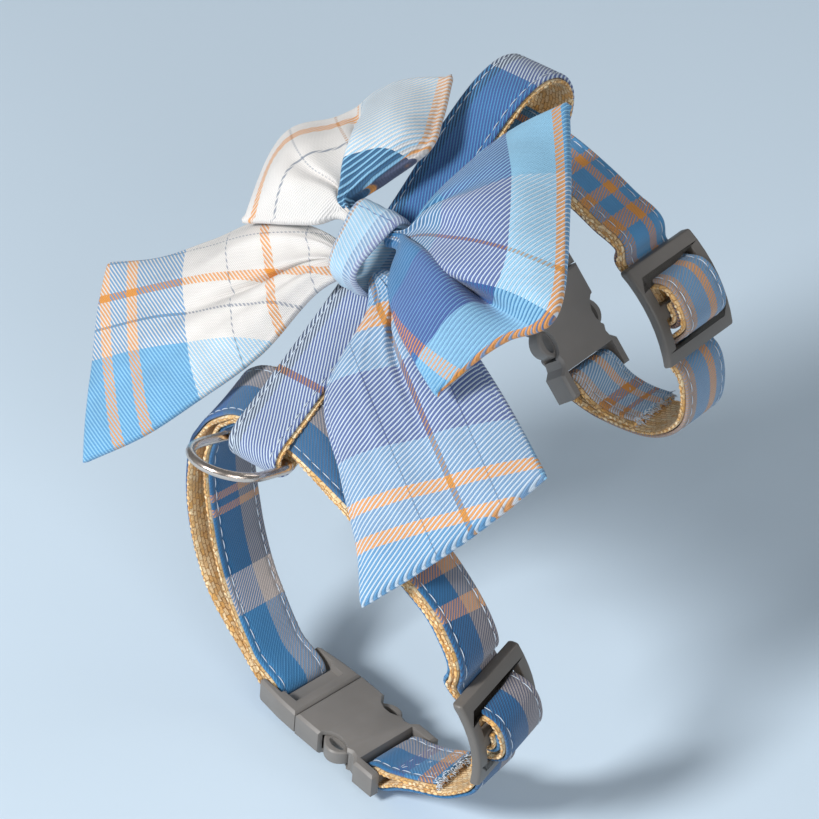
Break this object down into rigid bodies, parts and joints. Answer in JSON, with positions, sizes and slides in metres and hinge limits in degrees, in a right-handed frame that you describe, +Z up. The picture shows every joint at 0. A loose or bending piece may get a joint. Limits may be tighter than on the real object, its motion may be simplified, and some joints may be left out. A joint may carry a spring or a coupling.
{
  "type": "small pet harness with a bow",
  "caption": "Small pet harness: girth and neck strap loops with side-release buckles and sliders, joined by a back strap with a lead ring and a cloth bow.",
  "frame": {"origin": "underside of the back strap's lower fold, below the middle of the girth strap's crossing, where the harness rests on the pet's back", "axes": "+X from the girth loop towards the neck loop, +Z up, -Y the side with the sliders"},
  "size_m": [0.1334, 0.1511, 0.1515],
  "materials": {
    "webbing": "coarse woven cream webbing",
    "facing": "blue plaid twill, stitched along both edges",
    "bow_cloth": "blue, white and orange plaid twill",
    "moulding": "satin grey moulding",
    "slider_moulding": "satin brown-grey moulding",
    "nickel": "polished nickel plate"
  },
  "bodies": {
    "harness": {"girth_strap_webbing": "webbing", "girth_strap_facing": "facing", "girth_buckle_male": "moulding", "girth_buckle_female": "moulding", "girth_slider": "slider_moulding", "neck_strap_webbing": "webbing", "neck_strap_facing": "facing", "neck_buckle_male": "moulding", "neck_buckle_female": "moulding", "neck_slider": "slider_moulding", "back_strap_webbing": "webbing", "back_strap_facing": "facing", "bow_near_tail": "bow_cloth", "bow_far_tail": "bow_cloth", "bow_near_loop": "bow_cloth", "bow_far_loop": "bow_cloth", "bow_knot": "bow_cloth"},
    "ring": {"lead_ring": "nickel"}
  },
  "joints": [
    {"name": "lead_ring_hinge", "type": "hinge", "parent": "harness", "child": "ring", "pos_m": [-0.01237, -0.00189, -0.0011], "axis": [0.1513, -0.9885, 0], "range_deg": [-50, 150]}
  ]
}
